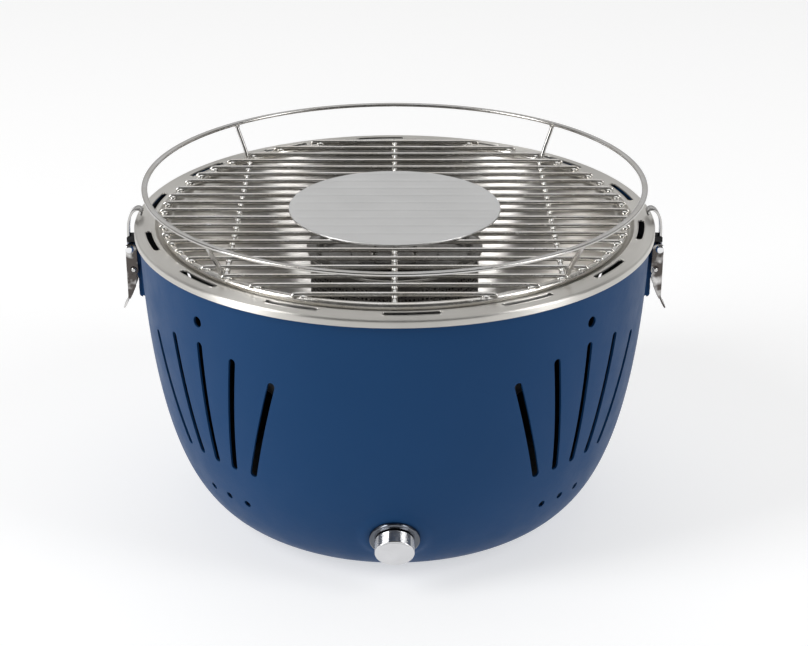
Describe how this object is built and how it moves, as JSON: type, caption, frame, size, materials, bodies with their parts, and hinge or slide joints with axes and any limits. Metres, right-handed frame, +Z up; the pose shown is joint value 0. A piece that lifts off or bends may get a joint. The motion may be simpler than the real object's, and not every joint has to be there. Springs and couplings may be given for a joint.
{
  "type": "portable tabletop grill",
  "caption": "Round fan-assisted charcoal tabletop grill: painted bowl, steel inner bowl, lift-off wire grate with raised ring, side latches and front knob.",
  "frame": {"origin": "on the ground under the middle of the bowl", "axes": "+Z up, the knob at the front towards -Y, the latches on -X and +X"},
  "size_m": [0.373, 0.3504, 0.2311],
  "materials": {
    "bowl_paint": "matte powder coat",
    "inner_steel": "spun and polished",
    "grate_steel": "bright wire",
    "plate_steel": "satin sheet",
    "basket_steel": "perforated sheet",
    "latch_chrome": "bright plated",
    "knob_chrome": "bright turned",
    "buffer_rubber": "moulded",
    "foot_rubber": "moulded",
    "black_plastic": "moulded",
    "inner_metal": "plain zinc",
    "cell_wrap": "plain wrap"
  },
  "bodies": {
    "housing": {"outer_bowl": "bowl_paint", "inner_bowl": "inner_steel", "fuel_dish": "basket_steel", "latch_bracket_left": "bowl_paint", "rivet_left_low": "inner_metal", "rivet_left_high": "inner_metal", "latch_pin_left_front": "latch_chrome", "latch_pin_left_back": "latch_chrome", "latch_bracket_right": "bowl_paint", "rivet_right_low": "inner_metal", "rivet_right_high": "inner_metal", "latch_pin_right_front": "latch_chrome", "latch_pin_right_back": "latch_chrome", "knob_bezel": "knob_chrome", "speed_control": "black_plastic", "base_plate": "black_plastic", "foot_1": "foot_rubber", "foot_2": "foot_rubber", "foot_3": "foot_rubber", "foot_4": "foot_rubber", "base_screw_1": "inner_metal", "base_screw_2": "inner_metal", "base_screw_3": "inner_metal", "fan_housing": "black_plastic", "fan_cover": "black_plastic", "fan_motor": "inner_metal", "battery_box": "black_plastic", "door_hinge_pin": "inner_metal", "battery_1": "cell_wrap", "battery_2": "cell_wrap", "battery_3": "cell_wrap", "battery_4": "cell_wrap", "motor_lead": "black_plastic", "battery_lead": "black_plastic"},
    "grate": {"grate_grid": "grate_steel", "grate_plate": "plate_steel", "raised_ring": "grate_steel", "strut_1": "grate_steel", "strut_2": "grate_steel", "strut_3": "grate_steel", "strut_4": "grate_steel"},
    "basket": {"basket_wall": "basket_steel", "basket_rim": "basket_steel", "basket_floor": "basket_steel"},
    "lid": {"basket_lid": "basket_steel", "lid_handle": "basket_steel"},
    "speed_knob": {"knob": "knob_chrome", "knob_shaft": "inner_metal"},
    "fan_wheel": {"impeller": "black_plastic", "motor_shaft": "inner_metal"},
    "battery_lid": {"battery_door": "black_plastic"},
    "lever_left": {"latch_lever_left": "latch_chrome", "strap_pin_left": "latch_chrome"},
    "strap_left": {"latch_strap_left": "latch_chrome", "strap_buffer_left": "buffer_rubber"},
    "lever_right": {"latch_lever_right": "latch_chrome", "strap_pin_right": "latch_chrome"},
    "strap_right": {"latch_strap_right": "latch_chrome", "strap_buffer_right": "buffer_rubber"}
  },
  "joints": [
    {"name": "grate_lift", "type": "slide", "parent": "housing", "child": "grate", "axis": [0, 0, 1], "range_m": [0, 0.15]},
    {"name": "basket_lift", "type": "slide", "parent": "housing", "child": "basket", "axis": [0, 0, 1], "range_m": [0, 0.008]},
    {"name": "lid_lift", "type": "slide", "parent": "basket", "child": "lid", "axis": [0, 0, 1], "range_m": [0, 0.008]},
    {"name": "knob_turn", "type": "hinge", "parent": "housing", "child": "speed_knob", "pos_m": [0, -0.14857, 0.04], "axis": [0, -0.9192, -0.3939], "range_deg": [0, 270]},
    {"name": "fan_spin", "type": "hinge", "parent": "housing", "child": "fan_wheel", "pos_m": [0, 0, 0.05], "axis": [0, 0, 1], "continuous": true},
    {"name": "battery_door_hinge", "type": "hinge", "parent": "housing", "child": "battery_lid", "pos_m": [0, 0.108, 0.0282], "axis": [-1, 0, 0], "range_deg": [0, 85]},
    {"name": "lever_hinge_left", "type": "hinge", "parent": "housing", "child": "lever_left", "pos_m": [-0.18, 0, 0.1822], "axis": [0, 1, 0], "range_deg": [0, 90]},
    {"name": "strap_hinge_left", "type": "hinge", "parent": "lever_left", "child": "strap_left", "pos_m": [-0.178, 0, 0.1668], "axis": [0, 1, 0], "range_deg": [-108, 0]},
    {"name": "lever_hinge_right", "type": "hinge", "parent": "housing", "child": "lever_right", "pos_m": [0.18, 0, 0.1822], "axis": [0, -1, 0], "range_deg": [0, 90]},
    {"name": "strap_hinge_right", "type": "hinge", "parent": "lever_right", "child": "strap_right", "pos_m": [0.178, 0, 0.1668], "axis": [0, -1, 0], "range_deg": [-108, 0]}
  ],
  "couplings": [
    {"joint": "strap_hinge_left", "follows": "lever_hinge_left", "ratio": -1.2},
    {"joint": "strap_hinge_right", "follows": "lever_hinge_right", "ratio": -1.2}
  ]
}
